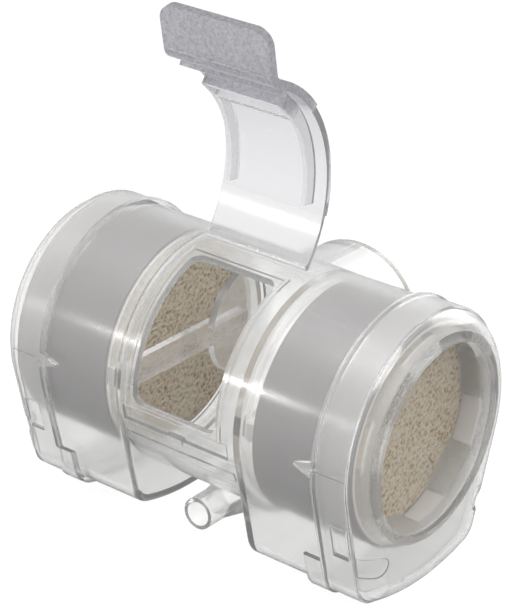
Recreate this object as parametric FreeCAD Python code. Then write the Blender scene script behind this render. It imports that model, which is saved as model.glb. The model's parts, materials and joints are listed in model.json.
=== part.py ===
import FreeCAD, Part
import math
import os
from FreeCAD import Vector

# A tracheostomy heat and moisture exchanger, in millimetres.
# X runs along the barrel, +Y is the way out of the patient connector, and +Z is up.
# The origin is the centre of the patient connector's open end, where a tracheostomy tube plugs in.
# It is drawn about the point where the barrel's axis crosses the connector's axis, and moved at the end.
# An angle round the barrel is counted from +Y through +Z, so 90 is the top and 180 the front.

# Barrel and chambers: one clear moulding
BODY_R = 15.5
BODY_WALL = 1.0
CHAMBER_FACE_X = 8.8
INNER_WALL = 1.0
RIM_X = 20.8
RIM_STEP = 0.5
CHAMBER_END_X = 25.4
SIDE_TAPER_DEG = 15.4
CHIN_DEPTH = 20.4
CHIN_BOW_R = 33.0
CHIN_CORNER_R = 4.0
FACE_EDGE_R = 0.7

# Opening between barrel and chamber, and what keeps the foam out of the barrel
PASSAGE_R = 12.0
STOP_BAR_HEIGHT = 2.2
GUARD_R = 7.7
GUARD_Y = 11.0
FOAM_SEAT_X = 11.5
SEAT_RING_WALL = 0.8

# Patient connector, a 15 mm conical socket
SOCKET_R = 7.7
SOCKET_WALL = 2.1
SOCKET_END_Y = 23.0
SOCKET_RIM_R = 0.6

# Oxygen port
PORT_R = 2.15
PORT_BORE_R = 1.65
PORT_Z = -16.9
PORT_MOUTH_Y = -10.0
PORT_STRAIGHT = 3.6
PORT_ROOT_R = 3.0
PORT_ROOT_Y = -2.5
PORT_END_Y = 1.0
PORT_RISER_R = 1.4

# Suction window, the bead round it and the catch below it
WINDOW_HALF = 6.4
WINDOW_TOP_DEG = 104.0
WINDOW_FOOT_DEG = 185.0
WINDOW_CORNER_R = 1.6
BEAD_GAP = 0.45
BEAD_WIDTH = 0.5
BEAD_HEIGHT = 0.25
CATCH_FROM_DEG = 187.2
CATCH_TO_DEG = 195.6
CATCH_DEPTH = 0.5
NIB_HALF = 1.2
NIB_SPAN = 0.9
NIB_HEIGHT = 0.3
LEDGE_DEG = 205.0
LEDGE_SPAN = 1.4
LEDGE_HEIGHT = 0.25

# Suction lid
LID_CLEAR = 0.2
LID_THICK = 0.9
STRAP_THICK = 0.55
STRAP_TO_DEG = 113.0
LID_HALF = 7.7
HINGE_R = 0.45
HINGE_GAP = 0.2
PLUG_CLEAR = 0.35
PLUG_RIB = 0.65
PLUG_DEPTH = 1.7
PLUG_FROM_DEG = 117.0
PLUG_GAP_DEG = 2.0
PLUG_END_DEG = 4.0
LATCH_FROM_DEG = 189.4
LATCH_TO_DEG = 193.0
LATCH_REACH = 0.25
LATCH_HALF = 7.5
CROSS_RIB_FROM_DEG = 166.5
CROSS_RIB_TO_DEG = 170.0
LID_LAP_DEG = 1.0
GRIP_FROM_DEG = 168.0
GRIP_TO_DEG = 198.5
GRIP_HALF = 7.9
GRIP_THICK = 1.1
GRIP_BEND_DEG = 58.5
GRIP_BEND_R = 1.4
TAB_LENGTH = 5.9
TAB_CORNER_R = 2.1
TAB_RIM = 0.5
TAB_RIM_DEPTH = 0.25
NUB_X = 3.4
NUB_HALF = 1.5
NUB_R = 0.55
NUB_DEG = 176.5
NUB_HEIGHT = 0.5
LID_OPEN_DEG = 127.0

# End cap
CAP_LIP_END_X = 25.9
CAP_MOUTH_X = 28.4
CAP_CLEAR = 0.05
CAP_LIP_PROUD = 0.45
CAP_BEAD_PROUD = 0.75
CAP_BEAD_LENGTH = 0.8
CAP_BEAD_BEVEL = 0.25
CAP_PROUD = 0.25
CAP_WALL = 1.0
CAP_ROUND = 3.3
FLAP_REACH = 2.5
FLAP_TOP_Z = -13.8
TONGUE_HALF = 1.3
POCKET_DEPTH = 0.3
POCKET_R = 1.5
POCKET_Z = -13.0
POCKET_REACH = 0.9
FINGER_WALL = 1.0
FINGER_CLEAR = 0.3
FINGER_COUNT = 6
FINGER_SPAN_DEG = 32.0
FINGER_FIRST_DEG = 15.0
FINGER_LENGTH = 3.0
FOAM_NIP = 0.1
GUIDE_LINE_WIDTH = 0.3
GUIDE_LINE_DEPTH = 0.2

# Snap bosses on the chamber and their windows in the cap
SNAP_X = 24.2
SNAP_LENGTH = 2.0
SNAP_HEIGHT = 4.4
SNAP_DROP = 3.6
SNAP_PROUD = 0.3
SNAP_CLEAR = 0.15

# Foam disc and the ring round it
SLEEVE_CLEAR = 0.15
SLEEVE_WALL = 0.8
SLEEVE_END_X = 25.6
FOAM_CLEAR = 0.1
FOAM_OUT_X = 23.0
END_CLEAR = 0.1

ORIGIN = Vector(0, 0, 0)
X_AXIS = Vector(1, 0, 0)
Y_AXIS = Vector(0, 1, 0)
CUT = 1.0
TOUCH = 1e-4
QUARTER_TURN = 90.0
HALF_TURN = 180.0
FULL_TURN = 360.0


def polar(radius, degrees, x=0.0):
    """Point at a radius and an angle round the barrel's axis."""
    angle = math.radians(degrees)
    return Vector(x, radius * math.cos(angle), radius * math.sin(angle))


def turned(shape, degrees):
    """Copy of a shape, turned about the barrel's axis."""
    copy = shape.copy()
    copy.rotate(ORIGIN, X_AXIS, degrees)
    return copy


def mirrored(shape):
    """Copy of a shape on the other side of the plane X = 0."""
    return shape.mirror(ORIGIN, X_AXIS)


def disc(radius, x0, x1):
    """Round solid about the barrel's axis, from x0 to x1."""
    return Part.makeCylinder(radius, x1 - x0, Vector(x0, 0, 0), X_AXIS)


def ring(outer, inner, x0, x1):
    """Tube about the barrel's axis."""
    return disc(outer, x0, x1).cut(disc(inner, x0 - CUT, x1 + CUT))


def rod(radius, y0, y1, z=0.0):
    """Round solid along Y."""
    return Part.makeCylinder(radius, y1 - y0, Vector(0, y0, z), Y_AXIS)


def block(x0, x1, y0, y1, z0, z1):
    return Part.makeBox(x1 - x0, y1 - y0, z1 - z0, Vector(x0, y0, z0))


def sector(inner, outer, start, end, x0, x1):
    """Curved slab about the barrel's axis, between two radii, two angles and two places along X."""
    corners = [Vector(x0, inner, 0), Vector(x1, inner, 0), Vector(x1, outer, 0), Vector(x0, outer, 0)]
    face = Part.Face(Part.makePolygon(corners + corners[:1]))
    face.rotate(ORIGIN, X_AXIS, start)
    return face.revolve(ORIGIN, X_AXIS, end - start)


def edges_along(shape, axis):
    """Straight edges that run along an axis."""
    straight = [e for e in shape.Edges if isinstance(e.Curve, Part.Line)]
    return [e for e in straight if abs(e.tangentAt(e.FirstParameter).dot(axis)) > 1.0 - TOUCH]


def edges_at_x(shape, x):
    """Edges that lie in the plane at one place along X."""
    boxes = [(e, e.BoundBox) for e in shape.Edges]
    return [e for e, box in boxes if abs(box.XMin - x) < TOUCH and abs(box.XMax - x) < TOUCH]


def side_tangent(inset):
    """Point on the +Y side where the round of the chamber's outline runs into its straight side."""
    return polar(BODY_R - inset, -SIDE_TAPER_DEG)


def chamber_prism(inset, x0, x1):
    """Solid with the chamber's outline: a round top, straight tapering sides and a bowed chin."""
    tangent = side_tangent(inset)
    down = polar(1.0, -SIDE_TAPER_DEG - QUARTER_TURN)
    bow_centre = Vector(0, 0, CHIN_BOW_R - CHIN_DEPTH)
    bow_r = CHIN_BOW_R - inset
    # The side meets the bow where its distance from the bow's centre is the bow's radius
    start = tangent - bow_centre
    half_b = start.dot(down)
    length = -half_b + math.sqrt(half_b * half_b - start.dot(start) + bow_r * bow_r)
    corner = tangent + down * length
    far_corner = Vector(0, -corner.y, corner.z)
    far_tangent = Vector(0, -tangent.y, tangent.z)
    lowest = bow_centre - Vector(0, 0, bow_r)
    outline = [Part.Arc(tangent, polar(BODY_R - inset, QUARTER_TURN), far_tangent).toShape(),
               Part.LineSegment(far_tangent, far_corner).toShape(),
               Part.Arc(far_corner, lowest, corner).toShape(),
               Part.LineSegment(corner, tangent).toShape()]
    face = Part.Face(Part.Wire(outline))
    face.translate(Vector(x0, 0, 0))
    prism = face.extrude(Vector(x1 - x0, 0, 0))
    chin_edges = [e for e in edges_along(prism, X_AXIS) if e.CenterOfMass.z < corner.z + CUT]
    return prism.makeFillet(CHIN_CORNER_R - inset, chin_edges)


def snap_block(grow, x_grow):
    """Boss on the straight side of the chamber, on the +Y side, grown by a clearance for its window."""
    tangent = side_tangent(0.0)
    shape = Part.makeBox(SNAP_LENGTH + 2 * x_grow, SNAP_PROUD + grow + CUT, SNAP_HEIGHT + 2 * x_grow,
                         Vector(-SNAP_LENGTH / 2 - x_grow, -CUT, -SNAP_DROP - SNAP_HEIGHT - x_grow))
    shape.rotate(ORIGIN, X_AXIS, -SIDE_TAPER_DEG)
    shape.translate(Vector(SNAP_X, tangent.y, tangent.z))
    return shape


def both_sides_in_y(shape):
    return [shape, shape.mirror(ORIGIN, Y_AXIS)]


def joined(shapes):
    """One solid from shapes that overlap, joined one after another."""
    solid = shapes[0]
    for shape in shapes[1:]:
        solid = solid.fuse(shape)
    return solid


def sleeve_bore():
    """Radius inside the sleeve round the foam."""
    return BODY_R - BODY_WALL - SLEEVE_CLEAR - SLEEVE_WALL


def mouth_radius():
    """Radius of the cap's mouth, whose fingers stand clear inside the sleeve."""
    return sleeve_bore() - FINGER_CLEAR - FINGER_WALL


def body_outside():
    """Outer form of the moulding, before it is hollowed."""
    barrel = disc(BODY_R, -CHAMBER_FACE_X - CUT, CHAMBER_FACE_X + CUT)
    chamber = chamber_prism(0.0, CHAMBER_FACE_X, RIM_X)
    chamber = chamber.makeFillet(FACE_EDGE_R, edges_at_x(chamber, CHAMBER_FACE_X))
    rim = chamber_prism(RIM_STEP, RIM_X - CUT, CHAMBER_END_X)
    snaps = both_sides_in_y(snap_block(0.0, 0.0))
    side = joined([chamber, rim] + snaps)
    socket = rod(SOCKET_R + SOCKET_WALL, 0.0, SOCKET_END_Y)
    socket_rim = [e for e in socket.Edges if abs(e.BoundBox.YMin - SOCKET_END_Y) < TOUCH]
    socket = socket.makeFillet(SOCKET_RIM_R, socket_rim)
    return joined([barrel, side, mirrored(side), socket, port_outside()] + window_trim())


def port_outside():
    """Oxygen port: a straight nipple, a cone to its root and a round end under the barrel."""
    straight_end = PORT_MOUTH_Y + PORT_STRAIGHT
    nipple = rod(PORT_R, PORT_MOUTH_Y, straight_end + CUT, z=PORT_Z)
    cone_foot = Vector(0, straight_end, PORT_Z)
    cone = Part.makeCone(PORT_R, PORT_ROOT_R, PORT_ROOT_Y - straight_end, cone_foot, Y_AXIS)
    root = rod(PORT_ROOT_R, PORT_ROOT_Y, PORT_END_Y, z=PORT_Z)
    end = Part.makeSphere(PORT_ROOT_R, Vector(0, PORT_END_Y, PORT_Z))
    return joined([nipple, cone, root, end])


def window_cut():
    """Opening of the suction window, with rounded corners."""
    hole = sector(BODY_R - BODY_WALL - CUT, BODY_R + CUT, WINDOW_TOP_DEG, WINDOW_FOOT_DEG,
                  -WINDOW_HALF, WINDOW_HALF)
    corners = [e for e in hole.Edges if isinstance(e.Curve, Part.Line) and abs(e.BoundBox.XLength) < TOUCH]
    return hole.makeFillet(WINDOW_CORNER_R, corners)


def degrees_of(length, radius):
    """Angle that a length takes up round a radius."""
    return math.degrees(length / radius)


def window_trim():
    """Sealing bead round the window and the ledge under the lid's tab."""
    low = BODY_R - BODY_WALL / 2
    gap = degrees_of(BEAD_GAP, BODY_R)
    band = degrees_of(BEAD_GAP + BEAD_WIDTH, BODY_R)
    inner_half = WINDOW_HALF + BEAD_GAP
    outer_half = inner_half + BEAD_WIDTH
    bead = sector(low, BODY_R + BEAD_HEIGHT, WINDOW_TOP_DEG - band, WINDOW_FOOT_DEG + gap,
                  -outer_half, outer_half)
    inside = sector(low - CUT, BODY_R + CUT, WINDOW_TOP_DEG - gap, WINDOW_FOOT_DEG + band,
                    -inner_half, inner_half)
    half_ledge = degrees_of(LEDGE_SPAN / 2, BODY_R)
    ledge = sector(low, BODY_R + LEDGE_HEIGHT, LEDGE_DEG - half_ledge, LEDGE_DEG + half_ledge,
                   -CHAMBER_FACE_X, CHAMBER_FACE_X)
    return [bead.cut(inside), ledge]


def catch_groove():
    """Groove under the window that the lid's latch drops into."""
    half = CHAMBER_FACE_X - FACE_EDGE_R
    return sector(BODY_R - CATCH_DEPTH, BODY_R + CUT, CATCH_FROM_DEG, CATCH_TO_DEG, -half, half)


def catch_nib():
    """Small catch at the lower edge of the groove."""
    reach = degrees_of(NIB_SPAN / 2, BODY_R)
    return sector(BODY_R - BODY_WALL / 2, BODY_R + NIB_HEIGHT, CATCH_TO_DEG - reach, CATCH_TO_DEG + reach,
                  -NIB_HALF, NIB_HALF)


def body_hollow():
    """Everything that is air inside the moulding."""
    wall_in = CHAMBER_FACE_X + INNER_WALL
    barrel = disc(BODY_R - BODY_WALL, -CHAMBER_FACE_X, CHAMBER_FACE_X)
    chamber = chamber_prism(BODY_WALL, wall_in, CHAMBER_END_X + CUT)
    passage = disc(PASSAGE_R, CHAMBER_FACE_X - CUT, wall_in + CUT)
    socket = rod(SOCKET_R, 0.0, SOCKET_END_Y + CUT)
    port = rod(PORT_BORE_R, PORT_MOUTH_Y - CUT, PORT_END_Y, z=PORT_Z)
    riser_top = BODY_R - BODY_WALL - CUT
    riser = Part.makeCylinder(PORT_RISER_R, -PORT_Z - riser_top, Vector(0, PORT_END_Y - PORT_RISER_R, PORT_Z))
    return [barrel, chamber, mirrored(chamber), passage, mirrored(passage), socket, port, riser]


def foam_stop():
    """Foam stop of the +X chamber: a seat ring, a bar across the opening and a guard beside the socket."""
    seat_outer = sleeve_bore() + SLEEVE_WALL / 2
    seat = ring(seat_outer, seat_outer - SEAT_RING_WALL, CHAMBER_FACE_X + INNER_WALL / 2, FOAM_SEAT_X)
    web = disc(PASSAGE_R + CUT, CHAMBER_FACE_X, FOAM_SEAT_X)
    bar = block(0, FOAM_SEAT_X + CUT, -BODY_R, GUARD_Y, -STOP_BAR_HEIGHT / 2, STOP_BAR_HEIGHT / 2)
    guard = disc(GUARD_R, 0, CHAMBER_FACE_X + INNER_WALL)
    guard.translate(Vector(0, GUARD_Y, 0))
    return seat.fuse(web.common(bar.fuse(guard)))


def main_body():
    outside = body_outside().cut(catch_groove())
    hollow = outside.cut(body_hollow() + [window_cut()])
    stop = foam_stop()
    return joined([hollow, stop, mirrored(stop), catch_nib()]).removeSplitter()


def lid_grip():
    """Wide end of the lid: its arc, a bend outwards and the flat thumb tab, as one strip."""
    inner = BODY_R + BEAD_HEIGHT + LID_CLEAR
    outer = inner + GRIP_THICK
    middle = (inner + outer) / 2
    bend_centre = polar(middle + GRIP_BEND_R, GRIP_TO_DEG)
    far = GRIP_BEND_R + GRIP_THICK / 2
    near = GRIP_BEND_R - GRIP_THICK / 2
    start = GRIP_TO_DEG + HALF_TURN
    half_way = start - GRIP_BEND_DEG / 2
    last = start - GRIP_BEND_DEG
    run = polar(TAB_LENGTH, GRIP_TO_DEG + QUARTER_TURN - GRIP_BEND_DEG)
    mid_angle = (GRIP_FROM_DEG + GRIP_TO_DEG) / 2
    far_end = bend_centre + polar(far, last)
    near_end = bend_centre + polar(near, last)
    inner_start, inner_mid, inner_bend = [polar(inner, a) for a in (GRIP_FROM_DEG, mid_angle, GRIP_TO_DEG)]
    outer_start, outer_mid, outer_bend = [polar(outer, a) for a in (GRIP_FROM_DEG, mid_angle, GRIP_TO_DEG)]
    outline = [Part.Arc(inner_start, inner_mid, inner_bend).toShape(),
               Part.Arc(inner_bend, bend_centre + polar(far, half_way), far_end).toShape(),
               Part.LineSegment(far_end, far_end + run).toShape(),
               Part.LineSegment(far_end + run, near_end + run).toShape(),
               Part.LineSegment(near_end + run, near_end).toShape(),
               Part.Arc(near_end, bend_centre + polar(near, half_way), outer_bend).toShape(),
               Part.Arc(outer_bend, outer_mid, outer_start).toShape(),
               Part.LineSegment(outer_start, inner_start).toShape()]
    face = Part.Face(Part.Wire(outline))
    face.translate(Vector(-GRIP_HALF, 0, 0))
    strip = face.extrude(Vector(2 * GRIP_HALF, 0, 0))
    tip = far_end + run
    across = (near_end - far_end).normalize()
    corners = [e for e in edges_along(strip, across) if (e.CenterOfMass - tip).dot(run) > -CUT]
    return strip.makeFillet(TAB_CORNER_R, corners).cut(tab_pocket(far_end, run, across))


def tab_pocket(foot, run, across):
    """Shallow pocket that leaves a thin rim round the thumb tab's inner face."""
    length = run.Length - TAB_RIM
    half = GRIP_HALF - TAB_RIM
    pocket = Part.makeBox(2 * half, length, TAB_RIM_DEPTH + CUT, Vector(-half, 0, -CUT))
    ends = [e for e in edges_along(pocket, Vector(0, 0, 1)) if e.CenterOfMass.y > CUT]
    pocket = pocket.makeFillet(TAB_CORNER_R - TAB_RIM, ends)
    direction = run.normalize()
    frame = FreeCAD.Matrix(1, 0, 0, 0, 0, direction.y, across.y, foot.y, 0, direction.z, across.z, foot.z,
                           0, 0, 0, 1)
    return pocket.transformGeometry(frame)


def suction_lid():
    """Lid, made closed on the barrel and then swung open about its hinge."""
    inner = BODY_R + BEAD_HEIGHT + LID_CLEAR
    hinge = Vector(0, 0, BODY_R + HINGE_GAP + HINGE_R)
    knuckle = disc(HINGE_R, -LID_HALF, LID_HALF)
    knuckle.translate(hinge)
    strap = sector(inner, inner + STRAP_THICK, QUARTER_TURN, STRAP_TO_DEG + LID_LAP_DEG, -LID_HALF, LID_HALF)
    plate = sector(inner, inner + LID_THICK, STRAP_TO_DEG, GRIP_FROM_DEG + LID_LAP_DEG, -LID_HALF, LID_HALF)
    latch = sector(BODY_R - LATCH_REACH, inner + STRAP_THICK, LATCH_FROM_DEG, LATCH_TO_DEG,
                   -LATCH_HALF, LATCH_HALF)
    pieces = [knuckle, strap, plate, lid_plug(inner), latch, lid_nub(inner), lid_grip()]
    solid = joined(pieces).removeSplitter()
    solid.rotate(hinge, X_AXIS, -LID_OPEN_DEG)
    return solid


def lid_plug(inner):
    """Rib down both sides and across the foot of the window, with a second rib across it inside."""
    half = WINDOW_HALF - PLUG_CLEAR
    foot = WINDOW_FOOT_DEG - PLUG_GAP_DEG
    low = inner - PLUG_DEPTH
    slab = sector(low, inner + STRAP_THICK, PLUG_FROM_DEG, foot, -half, half)
    lower = [e for e in edges_along(slab, polar(1.0, foot)) if abs(e.BoundBox.XLength) < TOUCH]
    slab = slab.makeFillet(WINDOW_CORNER_R - PLUG_CLEAR, lower)
    inside = sector(low - CUT, inner + STRAP_THICK + CUT, PLUG_FROM_DEG - LID_LAP_DEG, foot - PLUG_END_DEG,
                    PLUG_RIB - half, half - PLUG_RIB)
    cross = sector(low, inner + STRAP_THICK, CROSS_RIB_FROM_DEG, CROSS_RIB_TO_DEG, -half, half)
    return slab.cut(inside).fuse(cross)


def lid_nub(inner):
    """Small oval boss on the lid's inner face."""
    feet = [Vector(x, inner - NUB_HEIGHT, 0) for x in (NUB_X - NUB_HALF, NUB_X + NUB_HALF)]
    ends = [Part.makeCylinder(NUB_R, NUB_HEIGHT + LID_THICK, foot, Y_AXIS) for foot in feet]
    middle = block(NUB_X - NUB_HALF, NUB_X + NUB_HALF, inner - NUB_HEIGHT, inner + LID_THICK, -NUB_R, NUB_R)
    return turned(joined([middle] + ends), NUB_DEG)


def cap_end(inset):
    """Rounded end of the cap as a full block, or the same block shrunk by an inset."""
    face_x = CAP_MOUTH_X - inset
    end = chamber_prism(inset - CAP_PROUD, CAP_LIP_END_X - CUT, face_x)
    return end.makeFillet(CAP_ROUND - inset, edges_at_x(end, face_x))


def thumb_pocket():
    """Shallow pocket with a round end that wraps round the corner above the chin, on the -Y side."""
    length = 2 * CAP_ROUND
    tool = joined([rod(POCKET_R, -length, length / 2),
                   block(-length, 0, -length, length / 2, -POCKET_R, POCKET_R)])
    tool.translate(Vector(POCKET_REACH, 0, 0))
    tool.rotate(ORIGIN, Vector(0, 0, 1), QUARTER_TURN / 2)
    tangent = side_tangent(-CAP_PROUD)
    side_y = tangent.y + (POCKET_Z - tangent.z) * math.tan(math.radians(SIDE_TAPER_DEG))
    middle = CAP_ROUND * (1.0 - math.cos(math.radians(QUARTER_TURN / 2)))
    tool.translate(Vector(CAP_MOUTH_X - middle, middle - side_y, POCKET_Z))
    return tool.cut(cap_end(POCKET_DEPTH))


def cap_edge():
    """Bead round the cap's open edge, with a flap over the chin and a pointed tongue on each side."""
    edge_x = RIM_X + END_CLEAR
    bead_end = edge_x + CAP_BEAD_LENGTH
    bead = chamber_prism(-CAP_BEAD_PROUD, edge_x, bead_end)
    bead = bead.makeChamfer(CAP_BEAD_BEVEL, edges_at_x(bead, edge_x) + edges_at_x(bead, bead_end))
    tip_x = edge_x - FLAP_REACH
    skirt = chamber_prism(-CAP_BEAD_PROUD, tip_x, bead_end)
    skirt = skirt.makeChamfer(CAP_BEAD_BEVEL, edges_at_x(skirt, tip_x) + edges_at_x(skirt, bead_end))
    deep = 2 * CHIN_DEPTH
    chin = block(tip_x - CUT, bead_end, -deep, deep, -deep, FLAP_TOP_Z)
    points = [Vector(tip_x, -deep, 0), Vector(bead_end, -deep, -TONGUE_HALF),
              Vector(bead_end, -deep, TONGUE_HALF)]
    wedge = Part.Face(Part.makePolygon(points + points[:1])).extrude(Vector(0, 2 * deep, 0))
    return [bead, skirt.common(chin), skirt.common(wedge)]


def cap_shell():
    """Cap before its mouth and fingers: a skirt over the chamber's rim and a rounded hollow end."""
    edge_x = RIM_X + END_CLEAR
    lip = chamber_prism(-CAP_LIP_PROUD, edge_x, CAP_LIP_END_X)
    end = cap_end(0.0).cut(both_sides_in_y(thumb_pocket()))
    body_room = chamber_prism(-CAP_CLEAR, edge_x - FLAP_REACH - CUT, edge_x)
    rim_room = chamber_prism(RIM_STEP - CAP_CLEAR, edge_x - CUT, CHAMBER_END_X + END_CLEAR)
    inside = chamber_prism(CAP_WALL - CAP_PROUD, edge_x, CAP_MOUTH_X - CAP_WALL)
    inside = inside.makeFillet(CAP_ROUND - CAP_WALL, edges_at_x(inside, CAP_MOUTH_X - CAP_WALL))
    return joined([lip, end] + cap_edge()).cut([body_room, rim_room, inside])


def cap_fingers():
    """Tube behind the mouth whose end is cut into fingers that hold the foam."""
    foot = FOAM_OUT_X + FOAM_NIP
    inner = mouth_radius()
    outer = inner + FINGER_WALL
    tube = ring(outer, inner, foot, CAP_MOUTH_X - CAP_WALL / 2)
    pitch = FULL_TURN / FINGER_COUNT
    for index in range(FINGER_COUNT):
        start = FINGER_FIRST_DEG + index * pitch + FINGER_SPAN_DEG / 2
        slot = sector(inner - CUT, outer + CUT, start, start + pitch - FINGER_SPAN_DEG,
                      foot - CUT, foot + FINGER_LENGTH)
        tube = tube.cut(slot)
    return tube


def guide_lines():
    """Fine line along each side of the cap, at the height of the barrel's axis."""
    reach = BODY_R + CAP_LIP_PROUD
    line = block(RIM_X, CAP_LIP_END_X + CUT, reach - GUIDE_LINE_DEPTH, reach + CUT,
                 -GUIDE_LINE_WIDTH / 2, GUIDE_LINE_WIDTH / 2)
    return both_sides_in_y(line)


def end_cap():
    """Clear cap of the +X chamber."""
    mouth = disc(mouth_radius(), CAP_MOUTH_X - 2 * CAP_ROUND, CAP_MOUTH_X + CUT)
    windows = both_sides_in_y(snap_block(CUT, SNAP_CLEAR))
    shell = cap_shell().fuse(cap_fingers())
    return shell.cut([mouth] + windows + guide_lines()).removeSplitter()


def foam_sleeve():
    inner = sleeve_bore()
    return ring(inner + SLEEVE_WALL, inner, FOAM_SEAT_X + END_CLEAR, SLEEVE_END_X)


def foam_disc():
    return disc(sleeve_bore() - FOAM_CLEAR, FOAM_SEAT_X + END_CLEAR, FOAM_OUT_X)


def export(name, shape):
    """Write one piece, moved so that the connector's open end is at the origin."""
    shape.translate(Vector(0, -SOCKET_END_Y, 0))
    shape.exportStep("parts/" + name + ".step")
    print(name, shape.isValid(), len(shape.Solids), round(shape.Volume, 1))


def main():
    os.makedirs("parts", exist_ok=True)
    export("main_body", main_body())
    export("suction_lid", suction_lid())
    for name, make in (("end_cap", end_cap), ("foam_sleeve", foam_sleeve), ("foam_disc", foam_disc)):
        right = make()
        export("left_" + name, mirrored(right))
        export("right_" + name, right)


main()
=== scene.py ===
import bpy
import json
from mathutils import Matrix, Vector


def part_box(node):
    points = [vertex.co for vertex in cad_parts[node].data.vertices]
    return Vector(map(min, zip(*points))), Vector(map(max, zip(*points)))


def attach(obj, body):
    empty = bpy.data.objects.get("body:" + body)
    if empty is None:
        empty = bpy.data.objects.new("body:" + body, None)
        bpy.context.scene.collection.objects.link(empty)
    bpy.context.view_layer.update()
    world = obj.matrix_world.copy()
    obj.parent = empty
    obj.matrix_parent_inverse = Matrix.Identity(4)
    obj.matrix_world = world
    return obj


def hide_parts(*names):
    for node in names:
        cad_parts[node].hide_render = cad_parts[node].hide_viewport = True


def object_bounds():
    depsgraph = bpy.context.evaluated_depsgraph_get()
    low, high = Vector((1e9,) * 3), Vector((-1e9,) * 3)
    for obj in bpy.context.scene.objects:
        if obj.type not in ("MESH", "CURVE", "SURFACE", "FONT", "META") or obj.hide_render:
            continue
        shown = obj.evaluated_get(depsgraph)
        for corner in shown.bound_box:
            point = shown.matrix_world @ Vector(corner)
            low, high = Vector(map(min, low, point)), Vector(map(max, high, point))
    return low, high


bl_info = {
    "name": "Tracheostomy heat and moisture exchanger",
    "version": (1, 0, 0),
    "blender": (4, 5, 0),
    "location": "View3D > Sidebar > Exchanger",
    "description": "Foam discs, clear mouldings and studio for a tracheostomy heat and moisture exchanger",
    "category": "Object",
}

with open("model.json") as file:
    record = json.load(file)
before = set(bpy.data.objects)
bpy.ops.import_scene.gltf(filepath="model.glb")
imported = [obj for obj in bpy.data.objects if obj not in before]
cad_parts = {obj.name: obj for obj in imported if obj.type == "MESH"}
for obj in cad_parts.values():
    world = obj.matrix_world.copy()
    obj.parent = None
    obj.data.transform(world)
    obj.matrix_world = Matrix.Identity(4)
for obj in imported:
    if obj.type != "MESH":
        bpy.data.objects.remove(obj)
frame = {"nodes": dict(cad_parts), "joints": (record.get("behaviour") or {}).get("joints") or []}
cad_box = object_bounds()

import json
import math
from collections import namedtuple

import bpy
import numpy as np
from bpy.props import FloatProperty, IntProperty, PointerProperty, StringProperty
from mathutils import Matrix, Vector

MM = 0.001

# The lid's hinge runs along X, and the barrel's axis lies below it
HINGE = Vector(frame["joints"][0]["pos_m"])
BARREL_CENTRE = Vector((0.0, HINGE.y, 0.0))

# The tube of fingers inside a cap's mouth: just past its outer radius, and where it runs into the cap's face
TUBE_R = 13.4 * MM
TUBE_END_X = 27.5 * MM

# The sleeves: radius of the middle of their walls, and the middle of the length that shows
SLEEVE_MIDDLE_R = 13.95 * MM
SLEEVE_CROWN_X = 16.5 * MM

# The lid as the CAD has it, open: its arc's centre, and the angles on that arc where its parts begin
LID_OPEN = math.radians(127.0)
LID_ARC = Matrix.Translation(HINGE) @ Matrix.Rotation(-LID_OPEN, 4, "X") @ Vector((0, 0, -HINGE.z))
PLATE_START = math.radians(113.0) - LID_OPEN
GRIP_START = math.radians(168.0) - LID_OPEN

# Lengths over which the lid's finish and colours run into each other
FROST_BLEND = 0.4 * MM
PLATE_BLEND = 2 * MM
GRIP_BLEND = 1.5 * MM

# Relief of the clear plastic's flow marks and of its spark-eroded grains
FLOW_RELIEF = 0.05 * MM
GRIT_RELIEF = 0.15 * MM

# What is let through by the film that stands in for the clear plastic
FILM_COLOUR = "#FCFCFC"

# Width of the faint clouds in the sleeves' grey and in the foam's beige
SLEEVE_CLOUD = 6 * MM
FOAM_CLOUD = 4 * MM

# Relief of the foam's cell walls between its cut cells
STRUT_SPACING = 0.35 * MM
STRUT_RELIEF = 0.08 * MM

# Cut cells, in shares of a cell: how far a pit reaches, at least and by chance, and how deep the faintest is
PIT_REACH = 0.35
PIT_REACH_SPREAD = 0.4
FAINTEST_PIT = 0.25
SMALL_PIT = 0.5

# Factors of the sine that makes the foam's chance numbers, and the seeds that keep its faces apart
CHANCE_U = 127.1
CHANCE_V = 311.7
CHANCE_SEED = 74.7
CHANCE_GAIN = 43758.5453
SMALL_PITS_SEED = 10
FAR_FACE_SEED = 20
RIM_SEED = 40
LEFT_DISC_SEED = 2
RIGHT_DISC_SEED = 102

# The floor, and how far from the origin it has run into the white backdrop
FLOOR_HALF = 1.2
FLOOR_GAP = 0.2 * MM
BACKDROP_FROM = 0.06
BACKDROP_TO = 0.3

# Rise of a line of sight, from 0 for level to 1 for upright, at which the room overhead is at its greyest
CEILING_RISE = 0.6

# Width of the camera's sensor, which Blender takes in millimetres
SENSOR = 36.0

# The lamps, placed round the barrel's centre: azimuth from the front towards +X and elevation in degrees
Lamp = namedtuple("Lamp", "azimuth elevation distance width")
KEY_LAMP = Lamp(azimuth=-33.0, elevation=13.0, distance=0.5, width=0.035)
TOP_LAMP = Lamp(azimuth=0.0, elevation=72.0, distance=0.7, width=0.6)
BACK_LAMP = Lamp(azimuth=172.0, elevation=25.0, distance=0.6, width=0.5)


def hex_text(name, description, default):
    """Property that holds one sRGB colour as a hex value."""
    return StringProperty(name=name, description=description, default=default)


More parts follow.
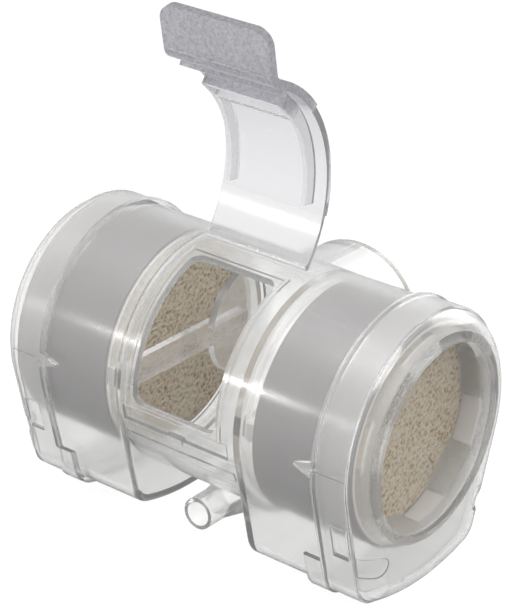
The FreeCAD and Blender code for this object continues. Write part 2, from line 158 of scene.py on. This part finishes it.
class ExchangerPlastics(bpy.types.PropertyGroup):
    """Colours and finish of the clear mouldings and of the grey sleeves."""

    body_colour: hex_text("Body", "What one wall of the body lets through", "#FAFAF9")
    cap_colour: hex_text("Caps", "What one wall of an end cap lets through", "#FAFAF9")
    tube_colour: hex_text("Finger tube", "What the frosted finger tube lets through", "#D6D5D2")
    strap_colour: hex_text("Lid strap", "What the lid's thin strap lets through", "#E6E6E7")
    plate_colour: hex_text("Lid plate", "What the lid's plate lets through", "#E8E8EA")
    grip_colour: hex_text("Lid grip", "What the lid's eroded grip lets through", "#CECED3")
    grip_shade: hex_text("Lid grip grains", "What the darker grains of the grip let through", "#94949A")
    depth_colour: hex_text("Depth", "What is left of white light deep in the clear plastic", "#A6A7AB")
    sleeve_colour: hex_text("Sleeves", "Lighter grey of the sleeves", "#8C8888")
    sleeve_shade: hex_text("Sleeve clouds", "Darker grey of the sleeves", "#827E7F")
    # Painted light: the sleeves' inner faces are drawn paler, standing in for the light they catch from
    # behind
    sleeve_inside_painted_light: hex_text("Sleeve inside", "Paler grey of the sleeves' inner faces", "#EAE7E2")
    sleeve_glow: FloatProperty(
        name="Sleeve glow", description="Share of the light that comes out on the sleeve's other side",
        default=0.5, min=0.0, max=1.0, subtype="FACTOR")
    sleeve_crown: FloatProperty(
        name="Sleeve crown", description="Radius of the sleeves' slight crown along the barrel",
        default=55 * MM, unit="LENGTH")
    clear_share: FloatProperty(
        name="Clear share", description="Share of the light that goes straight through, and isn't scattered",
        default=0.925, min=0.0, max=1.0, subtype="FACTOR")
    depth_density: FloatProperty(
        name="Depth density", description="How fast the depth colour takes over, per millimetre",
        default=0.05, min=0.0)
    polish: FloatProperty(
        name="Polish", description="Roughness of the polished walls", default=0.14, min=0.0, max=1.0,
        subtype="FACTOR")
    frost: FloatProperty(
        name="Frost", description="Roughness of the eroded grip and of the finger tubes",
        default=0.42, min=0.0, max=1.0, subtype="FACTOR")
    flow_spacing: FloatProperty(
        name="Flow marks", description="Spacing of the moulding's flow marks", default=4 * MM, unit="LENGTH")
    grit_spacing: FloatProperty(
        name="Grit", description="Spacing of the eroded surface's grains", default=0.45 * MM, unit="LENGTH")


class ExchangerFoam(bpy.types.PropertyGroup):
    """Sizes and colours of the open-cell foam discs."""

    wall_colour: hex_text("Cell walls", "Beige of the foam's cell walls", "#C0B8AA")
    # Painted shade: the brown of the open cells stands in for the shade in their hollows
    pit_painted_shade: hex_text("Open cells", "Brown seen where a cell is open", "#96846A")
    pore: FloatProperty(name="Cell", description="Width of a cell", default=0.5 * MM, unit="LENGTH")
    pore_depth: FloatProperty(
        name="Cell depth", description="Depth of a cut cell", default=0.14 * MM, unit="LENGTH")
    edge_round: FloatProperty(
        name="Cut edge", description="Radius of the disc's worn edge", default=0.35 * MM, unit="LENGTH")
    squares: IntProperty(
        name="Face grid", description="Squares across a face of a disc", default=190, min=20)
    rim_steps: IntProperty(name="Rim grid", description="Steps along the rim of a disc", default=24, min=4)


class ExchangerStudio(bpy.types.PropertyGroup):
    """Camera, floor and light."""

    azimuth: FloatProperty(
        name="Azimuth", description="Camera's angle round the part, from the front towards +X",
        default=math.radians(36.64), unit="ROTATION")
    elevation: FloatProperty(
        name="Elevation", description="Camera's angle above the floor", default=math.radians(27.05),
        unit="ROTATION")
    roll: FloatProperty(
        name="Roll", description="Camera's turn about its own line of sight", default=math.radians(2.48),
        unit="ROTATION")
    distance: FloatProperty(
        name="Distance", description="From the camera to the barrel's centre", default=285.6 * MM,
        unit="LENGTH")
    lens: FloatProperty(
        name="Lens", description="Focal length in millimetres on a 36 mm sensor", default=133.9)
    shift_x: FloatProperty(name="Shift X", description="The photograph's framing, sideways", default=0.0095)
    shift_y: FloatProperty(name="Shift Y", description="The photograph's framing, upwards", default=0.10)
    floor_colour: hex_text("Floor", "Grey of the floor, which the part reflects", "#868686")
    background: FloatProperty(
        name="Background",
        description="Share of plain white in what is seen of the floor near the part",
        default=0.9, min=0.0, max=1.0, subtype="FACTOR")
    room_left: FloatProperty(
        name="Room light, left", description="Strength of the room's light from the left", default=1.35,
        min=0.0)
    room_right: FloatProperty(
        name="Room light, right", description="Strength of the room's light from the right", default=1.1,
        min=0.0)
    room_mirrored: FloatProperty(
        name="Room in mirrors", description="Strength of what the polished walls reflect of the room",
        default=0.4, min=0.0)
    ceiling: FloatProperty(
        name="Ceiling", description="Strength of what the clear plastic shows of the room overhead",
        default=0.35, min=0.0)
    key_power: FloatProperty(
        name="Key lamp", description="Power of the small lamp at the front", default=0.16, unit="POWER")
    top_power: FloatProperty(
        name="Top lamp", description="Power of the soft lamp above", default=4.5, unit="POWER")
    back_power: FloatProperty(
        name="Back lamp", description="Power of the soft lamp behind", default=1.5, unit="POWER")


def linear(hex_colour):
    """sRGB hex colour as linear red, green, blue and 1."""
    channels = [int(hex_colour[i:i + 2], 16) / 255 for i in (1, 3, 5)]
    return tuple(c / 12.92 if c <= 0.04045 else ((c + 0.055) / 1.055) ** 2.4 for c in channels) + (1.0,)


def add_node(tree, kind, settings=None, values=None):
    """Adds a node, sets its properties, and sets or links its inputs; a socket as a value is linked."""
    node = tree.nodes.new(kind)
    for name, value in (settings or {}).items():
        setattr(node, name, value)
    for name, value in (values or {}).items():
        if isinstance(value, bpy.types.NodeSocket):
            tree.links.new(value, node.inputs[name])
        else:
            node.inputs[name].default_value = value
    return node


def new_material(name):
    """Empty node material and its output node."""
    material = bpy.data.materials.new(name)
    material.use_nodes = True
    material.node_tree.nodes.clear()
    return material, add_node(material.node_tree, "ShaderNodeOutputMaterial")


def dress(nodes, material):
    """Gives carried-over CAD nodes their material."""
    for node in nodes:
        mesh = frame["nodes"][node].data
        mesh.materials.clear()
        mesh.materials.append(material)


def clear_plastic(name, colour, frost=None):
    """Clear styrene-butadiene, injection moulded and polished.

    It looks bright and faintly grey, with darker edges where a wall is seen end on, because each wall tints
    what is behind it and scatters a little light. colour is a hex value, or a function that adds the nodes
    of a tint. frost, where given, is a function that adds the nodes of a mask from 0, polished, to 1, spark
    eroded. For shadows, and for light that matt surfaces receive, a clear film stands in for the plastic, so
    that the foam and the sleeves inside are lit."""
    props = bpy.context.scene.exchanger_plastics
    material, output = new_material(name)
    tree = material.node_tree
    place = add_node(tree, "ShaderNodeTexCoord").outputs["Object"]
    flow = add_node(tree, "ShaderNodeTexNoise", None, {
        "Vector": place, "Scale": 1 / props.flow_spacing, "Detail": 2.0})
    marks = add_node(tree, "ShaderNodeBump", None, {
        "Height": flow.outputs["Fac"], "Strength": 0.25, "Distance": FLOW_RELIEF})
    tint = linear(colour) if isinstance(colour, str) else colour(tree, place)
    glass = add_node(tree, "ShaderNodeBsdfPrincipled", None, {
        "Base Color": tint, "Roughness": props.polish, "IOR": 1.57, "Transmission Weight": props.clear_share,
        "Normal": marks.outputs[0]})
    if frost is not None:
        mask = frost(tree, place)
        # Spark-eroded grains are a tenth of a millimetre wide or less, and drawn coarser so that they show
        grit = add_node(tree, "ShaderNodeTexNoise", None, {
            "Vector": place, "Scale": 1 / props.grit_spacing, "Detail": 4.0})
        rough = add_node(tree, "ShaderNodeMapRange", None, {
            "Value": mask, "To Min": props.polish, "To Max": props.frost})
        height = add_node(tree, "ShaderNodeMath", {"operation": "MULTIPLY"}, {
            0: mask, 1: grit.outputs["Fac"]})
        eroded = add_node(tree, "ShaderNodeBump", None, {
            "Height": height.outputs[0], "Strength": 0.8, "Distance": GRIT_RELIEF,
            "Normal": marks.outputs[0]})
        tree.links.new(rough.outputs[0], glass.inputs["Roughness"])
        tree.links.new(eroded.outputs[0], glass.inputs["Normal"])
    path = add_node(tree, "ShaderNodeLightPath")
    either = add_node(tree, "ShaderNodeMath", {"operation": "MAXIMUM"}, {
        0: path.outputs["Is Shadow Ray"], 1: path.outputs["Is Diffuse Ray"]})
    film = add_node(tree, "ShaderNodeBsdfTransparent", None, {"Color": linear(FILM_COLOUR)})
    surface = add_node(tree, "ShaderNodeMixShader", None, {
        0: either.outputs[0], 1: glass.outputs[0], 2: film.outputs[0]})
    tree.links.new(surface.outputs[0], output.inputs["Surface"])
    depth = add_node(tree, "ShaderNodeVolumeAbsorption", None, {
        "Color": linear(props.depth_colour), "Density": props.depth_density / MM})
    tree.links.new(depth.outputs[0], output.inputs["Volume"])
    return material


def axis_distance(tree, place):
    """Socket with the distance from the barrel's axis."""
    arm = add_node(tree, "ShaderNodeVectorMath", {"operation": "SUBTRACT"}, {
        0: place, 1: tuple(BARREL_CENTRE)})
    across = add_node(tree, "ShaderNodeVectorMath", {"operation": "MULTIPLY"}, {
        0: arm.outputs[0], 1: (0.0, 1.0, 1.0)})
    distance = add_node(tree, "ShaderNodeVectorMath", {"operation": "LENGTH"}, {0: across.outputs[0]})
    return distance.outputs["Value"]


def cap_frost(tree, place):
    """Mask that is 1 on the finger tube in each cap's mouth, which the mould's core leaves frosted."""
    parts = add_node(tree, "ShaderNodeSeparateXYZ", None, {0: place})
    out = add_node(tree, "ShaderNodeMath", {"operation": "ABSOLUTE"}, {0: parts.outputs["X"]})
    inside = add_node(tree, "ShaderNodeMath", {"operation": "LESS_THAN"}, {
        0: axis_distance(tree, place), 1: TUBE_R})
    short = add_node(tree, "ShaderNodeMath", {"operation": "LESS_THAN"}, {0: out.outputs[0], 1: TUBE_END_X})
    both = add_node(tree, "ShaderNodeMath", {"operation": "MULTIPLY"}, {
        0: inside.outputs[0], 1: short.outputs[0]})
    return both.outputs[0]


def cap_tint(tree, place):
    """Clear shell, and a greyer finger tube."""
    props = bpy.context.scene.exchanger_plastics
    tint = add_node(tree, "ShaderNodeMix", {"data_type": "RGBA"}, {
        "Factor": cap_frost(tree, place), "A": linear(props.cap_colour), "B": linear(props.tube_colour)})
    return tint.outputs["Result"]


class EXCHANGER_OT_clear_housing(bpy.types.Operator):
    """Dress the body and the two end caps in clear moulded plastic."""

    bl_idname = "exchanger.clear_housing"
    bl_label = "Clear housing"

    def execute(self, context):
        props = context.scene.exchanger_plastics
        dress(["main_body"], clear_plastic("clear_styrene_butadiene_body", props.body_colour))
        cap_plastic = clear_plastic("clear_styrene_butadiene_cap", cap_tint, cap_frost)
        dress(["left_end_cap", "right_end_cap"], cap_plastic)
        return {"FINISHED"}


def beyond(tree, place, angle, blend):
    """Mask that is 1 on the lid beyond a plane through the axis of its arc, with a soft edge.

    It is the distance from that plane, which lies at the angle, run from 0 to 1 over the blend."""
    arm = add_node(tree, "ShaderNodeVectorMath", {"operation": "SUBTRACT"}, {0: place, 1: tuple(LID_ARC)})
    across = (0.0, -math.sin(angle), math.cos(angle))
    along = add_node(tree, "ShaderNodeVectorMath", {"operation": "DOT_PRODUCT"}, {
        0: arm.outputs[0], 1: across})
    mask = add_node(tree, "ShaderNodeMapRange", {"interpolation_type": "SMOOTHSTEP"}, {
        "Value": along.outputs["Value"], "From Min": 0.0, "From Max": blend})
    return mask.outputs[0]


def lid_frost(tree, place):
    """Mask that is 1 on the grip and thumb tab, which the mould's eroded face leaves frosted."""
    return beyond(tree, place, GRIP_START, FROST_BLEND)


def lid_tint(tree, place):
    """Clear strap and plate, and a greyer grip that is speckled by its grains."""
    props = bpy.context.scene.exchanger_plastics
    smooth = add_node(tree, "ShaderNodeMix", {"data_type": "RGBA"}, {
        "Factor": beyond(tree, place, PLATE_START, PLATE_BLEND), "A": linear(props.strap_colour),
        "B": linear(props.plate_colour)})
    speckle = add_node(tree, "ShaderNodeTexNoise", None, {
        "Vector": place, "Scale": 1 / props.grit_spacing, "Detail": 4.0, "Roughness": 0.7})
    amount = add_node(tree, "ShaderNodeMapRange", None, {
        "Value": speckle.outputs["Fac"], "From Min": 0.35, "From Max": 0.65})
    grip = add_node(tree, "ShaderNodeMix", {"data_type": "RGBA"}, {
        "Factor": amount.outputs[0], "A": linear(props.grip_shade), "B": linear(props.grip_colour)})
    tint = add_node(tree, "ShaderNodeMix", {"data_type": "RGBA"}, {
        "Factor": beyond(tree, place, GRIP_START, GRIP_BLEND), "A": smooth.outputs["Result"],
        "B": grip.outputs["Result"]})
    return tint.outputs["Result"]


class EXCHANGER_OT_clear_lid(bpy.types.Operator):
    """Dress the suction lid in clear plastic with a frosted grip."""

    bl_idname = "exchanger.clear_lid"
    bl_label = "Clear lid"

    def execute(self, context):
        dress(["suction_lid"], clear_plastic("clear_styrene_butadiene_lid", lid_tint, lid_frost))
        return {"FINISHED"}


def sleeve_plastic(name):
    """Grey polypropylene, moulded with a satin face: a soft highlight, a faintly uneven grey, and paler
    inner faces as painted light.
    """
    props = bpy.context.scene.exchanger_plastics
    material, output = new_material(name)
    tree = material.node_tree
    place = add_node(tree, "ShaderNodeTexCoord").outputs["Object"]
    cloud = add_node(tree, "ShaderNodeTexNoise", None, {
        "Vector": place, "Scale": 1 / SLEEVE_CLOUD, "Detail": 3.0})
    outside = add_node(tree, "ShaderNodeMix", {"data_type": "RGBA"}, {
        "Factor": cloud.outputs["Fac"], "A": linear(props.sleeve_colour), "B": linear(props.sleeve_shade)})
    # Painted light: faces inside the middle of the sleeve's wall, its inner faces, take the paler grey,
    # standing in for light from behind
    depth = add_node(tree, "ShaderNodeMath", {"operation": "LESS_THAN"}, {
        0: axis_distance(tree, place), 1: SLEEVE_MIDDLE_R})
    sleeve_grey_and_painted_light = add_node(tree, "ShaderNodeMix", {"data_type": "RGBA"}, {
        "Factor": depth.outputs[0], "A": outside.outputs["Result"], "B": linear(props.sleeve_inside_painted_light)})
    # A slight sink towards the sleeve's ends, by a parabola along X, shortens its highlight
    parts = add_node(tree, "ShaderNodeSeparateXYZ", None, {0: place})
    along = add_node(tree, "ShaderNodeMath", {"operation": "ABSOLUTE"}, {0: parts.outputs["X"]})
    off = add_node(tree, "ShaderNodeMath", {"operation": "SUBTRACT"}, {
        0: along.outputs[0], 1: SLEEVE_CROWN_X})
    square = add_node(tree, "ShaderNodeMath", {"operation": "MULTIPLY"}, {
        0: off.outputs[0], 1: off.outputs[0]})
    sink = add_node(tree, "ShaderNodeMath", {"operation": "DIVIDE"}, {
        0: square.outputs[0], 1: -2 * props.sleeve_crown})
    crown = add_node(tree, "ShaderNodeBump", None, {
        "Height": sink.outputs[0], "Strength": 1.0, "Distance": 1.0})
    face = add_node(tree, "ShaderNodeBsdfPrincipled", None, {
        "Base Color": sleeve_grey_and_painted_light.outputs["Result"], "Roughness": 0.27, "IOR": 1.49, "Normal": crown.outputs[0]})
    glow = add_node(tree, "ShaderNodeBsdfTranslucent", None, {"Color": sleeve_grey_and_painted_light.outputs["Result"]})
    body = add_node(tree, "ShaderNodeMixShader", None, {
        0: props.sleeve_glow, 1: face.outputs[0], 2: glow.outputs[0]})
    tree.links.new(body.outputs[0], output.inputs["Surface"])
    return material


class EXCHANGER_OT_grey_sleeves(bpy.types.Operator):
    """Dress the two sleeves round the foam in satin grey plastic."""

    bl_idname = "exchanger.grey_sleeves"
    bl_label = "Grey sleeves"

    def execute(self, context):
        dress(["left_foam_sleeve", "right_foam_sleeve"], sleeve_plastic("satin_grey_polypropylene"))
        return {"FINISHED"}


def foam_material(name):
    """Open-cell polyurethane foam, cut with a blade: matt beige walls, and brown painted shade where the
    cells open.
    """
    props = bpy.context.scene.exchanger_foam
    material, output = new_material(name)
    tree = material.node_tree
    place = add_node(tree, "ShaderNodeTexCoord").outputs["Object"]
    pore = add_node(tree, "ShaderNodeAttribute", {"attribute_name": "pore"}).outputs["Fac"]
    cloud = add_node(tree, "ShaderNodeTexNoise", None, {
        "Vector": place, "Scale": 1 / FOAM_CLOUD, "Detail": 3.0})
    even = add_node(tree, "ShaderNodeMapRange", None, {
        "Value": cloud.outputs["Fac"], "From Min": 0.3, "From Max": 0.7, "To Min": 0.7, "To Max": 1.3})
    depth = add_node(tree, "ShaderNodeMath", {"operation": "MULTIPLY", "use_clamp": True}, {
        0: pore, 1: even.outputs[0]})
    # Painted shade: the deeper a cell's pore, the nearer its colour comes to the brown that stands in for
    # the shade in its hollow
    colour = add_node(tree, "ShaderNodeMix", {"data_type": "RGBA"}, {
        "Factor": depth.outputs[0], "A": linear(props.wall_colour), "B": linear(props.pit_painted_shade)})
    # The cell walls are about a tenth of a millimetre thick, too fine to show, so they are drawn coarser
    fine = add_node(tree, "ShaderNodeTexNoise", None, {
        "Vector": place, "Scale": 1 / STRUT_SPACING, "Detail": 3.0})
    strut = add_node(tree, "ShaderNodeBump", None, {
        "Height": fine.outputs["Fac"], "Strength": 0.6, "Distance": STRUT_RELIEF})
    body = add_node(tree, "ShaderNodeBsdfPrincipled", None, {
        "Base Color": colour.outputs["Result"], "Roughness": 0.95, "IOR": 1.4, "Specular IOR Level": 0.1,
        "Normal": strut.outputs[0]})
    tree.links.new(body.outputs[0], output.inputs["Surface"])
    return material


def hashed(cell_u, cell_v, seed):
    """Chance number from 0 to 1 for each cell: the fraction of a large sine of its place and a seed."""
    value = np.sin(cell_u * CHANCE_U + cell_v * CHANCE_V + seed * CHANCE_SEED) * CHANCE_GAIN
    return value - np.floor(value)


def cell_pits(u, v, size, seed):
    """Depth from 0 to 1 of round pits, one to a square cell, each at a chance place and of a chance depth.

    A pit falls off with the square of the distance to its centre. Its depth grows with the square of a
    chance number, so that a few pits are deep and most are faint. Where pits overlap, the deeper one
    counts."""
    cell_u = np.floor(u / size)
    cell_v = np.floor(v / size)
    deepest = np.zeros(u.shape)
    for du in (-1, 0, 1):
        for dv in (-1, 0, 1):
            cu = cell_u + du
            cv = cell_v + dv
            away = np.hypot(u / size - cu - hashed(cu, cv, seed), v / size - cv - hashed(cu, cv, seed + 1))
            reach = PIT_REACH + PIT_REACH_SPREAD * hashed(cu, cv, seed + 2)
            depth = FAINTEST_PIT + (1 - FAINTEST_PIT) * hashed(cu, cv, seed + 3) ** 2
            deepest = np.maximum(deepest, np.clip(1 - (away / reach) ** 2, 0, 1) * depth)
    return deepest


def pores(u, v, seed):
    """Sum of two sizes of pit, the small ones half as wide and half as deep, from 0 to 1."""
    size = bpy.context.scene.exchanger_foam.pore
    small = cell_pits(u, v, SMALL_PIT * size, seed + SMALL_PITS_SEED)
    return np.clip(cell_pits(u, v, size, seed) + SMALL_PIT * small, 0, 1)


def foam_face(radius, seed):
    """Points of a pored face in its plane, their pores and how far each is sunk.

    A square grid is laid on the disc, each square ring of the grid becoming a circle. A point sinks by its
    pore's share of the cell depth, and near the rim by a quarter circle."""
    props = bpy.context.scene.exchanger_foam
    side = np.linspace(-1, 1, props.squares + 1)
    a, b = np.meshgrid(side, side, indexing="ij")
    ring = np.maximum(np.abs(a), np.abs(b))
    length = np.hypot(a, b)
    stretch = np.where(length > 0, ring / np.where(length > 0, length, 1.0), 0.0)
    y = a * stretch * radius
    z = b * stretch * radius
    pore = pores(y, z, seed)
    inwards = np.clip((1 - ring) * radius / props.edge_round, 0, 1)
    sink = pore * props.pore_depth * inwards + (1 - np.sqrt(1 - (1 - inwards) ** 2)) * props.edge_round
    return y, z, pore, sink


def foam_disc(name, low, high, seed):
    """Closed mesh of a foam disc: two pored faces that share their outer rings with a rim.

    The rim is a circle carried along X in steps, each point drawn in by its pore's share of the cell
    depth."""
    props = bpy.context.scene.exchanger_foam
    radius = (high[1] - low[1]) / 2
    centre = (high[1] + low[1]) / 2
    y, z, near_pore, near_sink = foam_face(radius, seed)
    far_pore, far_sink = foam_face(radius, seed + FAR_FACE_SEED)[2:]
    near = np.stack([low[0] + near_sink, y + centre, z], -1).reshape(-1, 3)
    far = np.stack([high[0] - far_sink, y + centre, z], -1).reshape(-1, 3)
    # The near face's points come first, then the far face's and the rim's
    width = props.squares + 1
    count = width * width
    index = np.arange(count).reshape(width, width)
    quads = np.stack([index[:-1, :-1], index[1:, :-1], index[1:, 1:], index[:-1, 1:]], -1).reshape(-1, 4)
    loop = np.concatenate([index[:-1, 0], index[-1, :-1], index[:0:-1, -1], index[0, :0:-1]])
    turn = np.arctan2(near[loop, 2], near[loop, 1] - centre)
    share = np.linspace(0, 1, props.rim_steps + 1)[1:-1]
    x, turn = np.meshgrid(low[0] + (high[0] - low[0]) * share, turn, indexing="ij")
    rim_pore = pores(turn * radius, x, seed + RIM_SEED)
    reach = radius - rim_pore * props.pore_depth
    rim = np.stack([x, centre + reach * np.cos(turn), reach * np.sin(turn)], -1).reshape(-1, 3)
    rows = np.arange(rim_pore.size).reshape(rim_pore.shape) + 2 * count
    rows = np.vstack([loop, rows, loop + count])
    ahead = np.roll(rows, -1, axis=1)
    sides = np.stack([rows[:-1], ahead[:-1], ahead[1:], rows[1:]], -1).reshape(-1, 4)
    faces = np.concatenate([quads[:, ::-1], quads + count, sides])
    mesh = bpy.data.meshes.new(name)
    mesh.from_pydata(np.concatenate([near, far, rim]), [], faces.tolist())
    attribute = mesh.attributes.new("pore", "FLOAT", "POINT")
    values = np.concatenate([near_pore.ravel(), far_pore.ravel(), rim_pore.ravel()])
    attribute.data.foreach_set("value", values)
    mesh.polygons.foreach_set("use_smooth", np.ones(len(mesh.polygons), bool))
    mesh.update()
    piece = bpy.data.objects.new(name, mesh)
    bpy.context.scene.collection.objects.link(piece)
    return piece


class EXCHANGER_OT_foam_discs(bpy.types.Operator):
    """Make the two open-cell foam discs in place of their plain solids."""

    bl_idname = "exchanger.foam_discs"
    bl_label = "Foam discs"

    def execute(self, context):
        material = foam_material("open_cell_polyurethane_foam")
        for side, seed in (("left", LEFT_DISC_SEED), ("right", RIGHT_DISC_SEED)):
            node = side + "_foam_disc"
            low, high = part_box(node)
            piece = foam_disc(side + "_open_cell_foam", low, high, seed)
            piece.data.materials.append(material)
            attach(piece, "housing")
            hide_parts(node)
        return {"FINISHED"}


def direction(azimuth, elevation):
    """Unit vector at an azimuth from the front, -Y, towards +X, and at an elevation."""
    flat = math.cos(elevation)
    return Vector((math.sin(azimuth) * flat, -math.cos(azimuth) * flat, math.sin(elevation)))


def seen_through(tree):
    """Socket that is 1 for what the camera sees straight or through the clear plastic, and otherwise 0."""
    path = add_node(tree, "ShaderNodeLightPath")
    seen = add_node(tree, "ShaderNodeMath", {"operation": "MAXIMUM"}, {
        0: path.outputs["Is Camera Ray"], 1: path.outputs["Is Transmission Ray"]})
    return seen.outputs[0]


class EXCHANGER_OT_stage(bpy.types.Operator):
    """Set up the pale floor, the soft light and the camera at the photograph's angle."""

    bl_idname = "exchanger.stage"
    bl_label = "Stage"

    def execute(self, context):
        props = context.scene.exchanger_studio
        self.make_floor(context, props)
        self.make_world(context, props)
        self.make_lamp(context, "key", KEY_LAMP, props.key_power)
        self.make_lamp(context, "top", TOP_LAMP, props.top_power)
        self.make_lamp(context, "back", BACK_LAMP, props.back_power)
        self.make_camera(context, props)
        scene = context.scene
        scene.view_settings.view_transform = "Standard"
        # Enough for a line of sight that crosses many clear faces on its way through the part
        scene.cycles.max_bounces = 32
        scene.cycles.transmission_bounces = 28
        scene.cycles.transparent_max_bounces = 48
        return {"FINISHED"}

    def make_floor(self, context, props):
        """Painted matt board, white to the eye with the part's shadow on it, and grey in what it lights.

        Near the part it keeps the shadow, and further out it runs into the white backdrop."""
        z = cad_box[0][2] - FLOOR_GAP
        corners = [(x * FLOOR_HALF, y * FLOOR_HALF, z) for x, y in ((-1, -1), (1, -1), (1, 1), (-1, 1))]
        mesh = bpy.data.meshes.new("floor")
        mesh.from_pydata(corners, [], [(0, 1, 2, 3)])
        floor = bpy.data.objects.new("floor", mesh)
        context.scene.collection.objects.link(floor)
        material, output = new_material("matt_painted_board")
        tree = material.node_tree
        seen = seen_through(tree)
        colour = add_node(tree, "ShaderNodeMix", {"data_type": "RGBA"}, {
            "Factor": seen, "A": linear(props.floor_colour), "B": linear("#FFFFFF")})
        matt = add_node(tree, "ShaderNodeBsdfDiffuse", None, {"Color": colour.outputs["Result"]})
        white = add_node(tree, "ShaderNodeEmission", None, {"Color": linear("#FFFFFF"), "Strength": 1.0})
        place = add_node(tree, "ShaderNodeTexCoord").outputs["Object"]
        away = add_node(tree, "ShaderNodeVectorMath", {"operation": "LENGTH"}, {0: place})
        white_part = add_node(tree, "ShaderNodeMapRange", {"interpolation_type": "SMOOTHSTEP"}, {
            "Value": away.outputs["Value"], "From Min": BACKDROP_FROM, "From Max": BACKDROP_TO,
            "To Min": props.background, "To Max": 1.0})
        share = add_node(tree, "ShaderNodeMath", {"operation": "MULTIPLY"}, {
            0: seen, 1: white_part.outputs[0]})
        shown = add_node(tree, "ShaderNodeMixShader", None, {
            0: share.outputs[0], 1: matt.outputs[0], 2: white.outputs[0]})
        tree.links.new(shown.outputs[0], output.inputs["Surface"])
        mesh.materials.append(material)

    def make_world(self, context, props):
        """The room's even light, a little stronger from the left, and the white backdrop.

        Behind the part it is white. Seen through the part's walls it is white low down and grey overhead, as
        a room's ceiling is."""
        world = bpy.data.worlds.new("studio")
        context.scene.world = world
        world.use_nodes = True
        tree = world.node_tree
        tree.nodes.clear()
        path = add_node(tree, "ShaderNodeLightPath")
        way = add_node(tree, "ShaderNodeTexCoord").outputs["Generated"]
        parts = add_node(tree, "ShaderNodeSeparateXYZ", None, {0: way})
        side = add_node(tree, "ShaderNodeMapRange", None, {
            "Value": parts.outputs["X"], "From Min": -1.0, "From Max": 1.0, "To Min": props.room_left,
            "To Max": props.room_right})
        through = add_node(tree, "ShaderNodeMapRange", {"interpolation_type": "SMOOTHSTEP"}, {
            "Value": parts.outputs["Z"], "From Min": 0.0, "From Max": CEILING_RISE, "To Min": 1.0,
            "To Max": props.ceiling})
        mirrored = add_node(tree, "ShaderNodeMix", None, {
            "Factor": path.outputs["Is Glossy Ray"], "A": side.outputs[0], "B": props.room_mirrored})
        lit = add_node(tree, "ShaderNodeMix", None, {
            "Factor": path.outputs["Is Transmission Ray"], "A": mirrored.outputs["Result"],
            "B": through.outputs[0]})
        shown = add_node(tree, "ShaderNodeMix", None, {
            "Factor": path.outputs["Is Camera Ray"], "A": lit.outputs["Result"], "B": 1.0})
        room = add_node(tree, "ShaderNodeBackground", None, {
            "Color": linear("#FFFFFF"), "Strength": shown.outputs["Result"]})
        add_node(tree, "ShaderNodeOutputWorld", None, {"Surface": room.outputs[0]})

    def make_lamp(self, context, name, place, power):
        """Round soft lamp that faces the barrel's centre."""
        lamp = bpy.data.objects.new(name, bpy.data.lights.new(name, "AREA"))
        lamp.data.shape = "DISK"
        lamp.data.size = place.width
        lamp.data.energy = power
        away = direction(math.radians(place.azimuth), math.radians(place.elevation))
        turn = (-away).to_track_quat("-Z", "Y").to_matrix().to_4x4()
        lamp.matrix_world = Matrix.Translation(BARREL_CENTRE + away * place.distance) @ turn
        context.scene.collection.objects.link(lamp)

    def make_camera(self, context, props):
        """Camera that faces the barrel's centre, turned about its line of sight by the roll."""
        camera = bpy.data.objects.new("camera", bpy.data.cameras.new("camera"))
        context.scene.collection.objects.link(camera)
        back = direction(props.azimuth, props.elevation)
        level = Vector((math.cos(props.azimuth), math.sin(props.azimuth), 0))
        right = math.cos(props.roll) * level + math.sin(props.roll) * back.cross(level)
        turn = Matrix((right, back.cross(right), back)).transposed().to_4x4()
        camera.matrix_world = Matrix.Translation(BARREL_CENTRE + back * props.distance) @ turn
        camera.data.lens = props.lens
        camera.data.sensor_width = SENSOR
        camera.data.shift_x = props.shift_x
        camera.data.shift_y = props.shift_y
        camera.data.clip_start = 10 * MM
        context.scene.camera = camera


STEPS = (EXCHANGER_OT_stage, EXCHANGER_OT_foam_discs, EXCHANGER_OT_grey_sleeves, EXCHANGER_OT_clear_housing,
         EXCHANGER_OT_clear_lid)
GROUPS = {"exchanger_plastics": ExchangerPlastics, "exchanger_foam": ExchangerFoam,
          "exchanger_studio": ExchangerStudio}


class EXCHANGER_PT_sidebar(bpy.types.Panel):
    """Steps and settings of the exchanger in the 3D view's sidebar."""

    bl_idname = "EXCHANGER_PT_sidebar"
    bl_label = "Heat and moisture exchanger"
    bl_space_type = "VIEW_3D"
    bl_region_type = "UI"
    bl_category = "Exchanger"

    def draw(self, context):
        for step in STEPS:
            self.layout.operator(step.bl_idname)
        for name, group in GROUPS.items():
            box = self.layout.box()
            for prop in group.__annotations__:
                box.prop(getattr(context.scene, name), prop)


def register():
    for group in GROUPS.values():
        bpy.utils.register_class(group)
    for name, group in GROUPS.items():
        setattr(bpy.types.Scene, name, PointerProperty(type=group))
    for step in STEPS:
        bpy.utils.register_class(step)
    bpy.utils.register_class(EXCHANGER_PT_sidebar)


def unregister():
    bpy.utils.unregister_class(EXCHANGER_PT_sidebar)
    for step in reversed(STEPS):
        bpy.utils.unregister_class(step)
    for name in GROUPS:
        delattr(bpy.types.Scene, name)
    for group in reversed(list(GROUPS.values())):
        bpy.utils.unregister_class(group)


def main():
    register()
    bpy.ops.exchanger.stage()
    bpy.ops.exchanger.foam_discs()
    bpy.ops.exchanger.grey_sleeves()
    bpy.ops.exchanger.clear_housing()
    bpy.ops.exchanger.clear_lid()


if __name__ == "__main__":
    main()
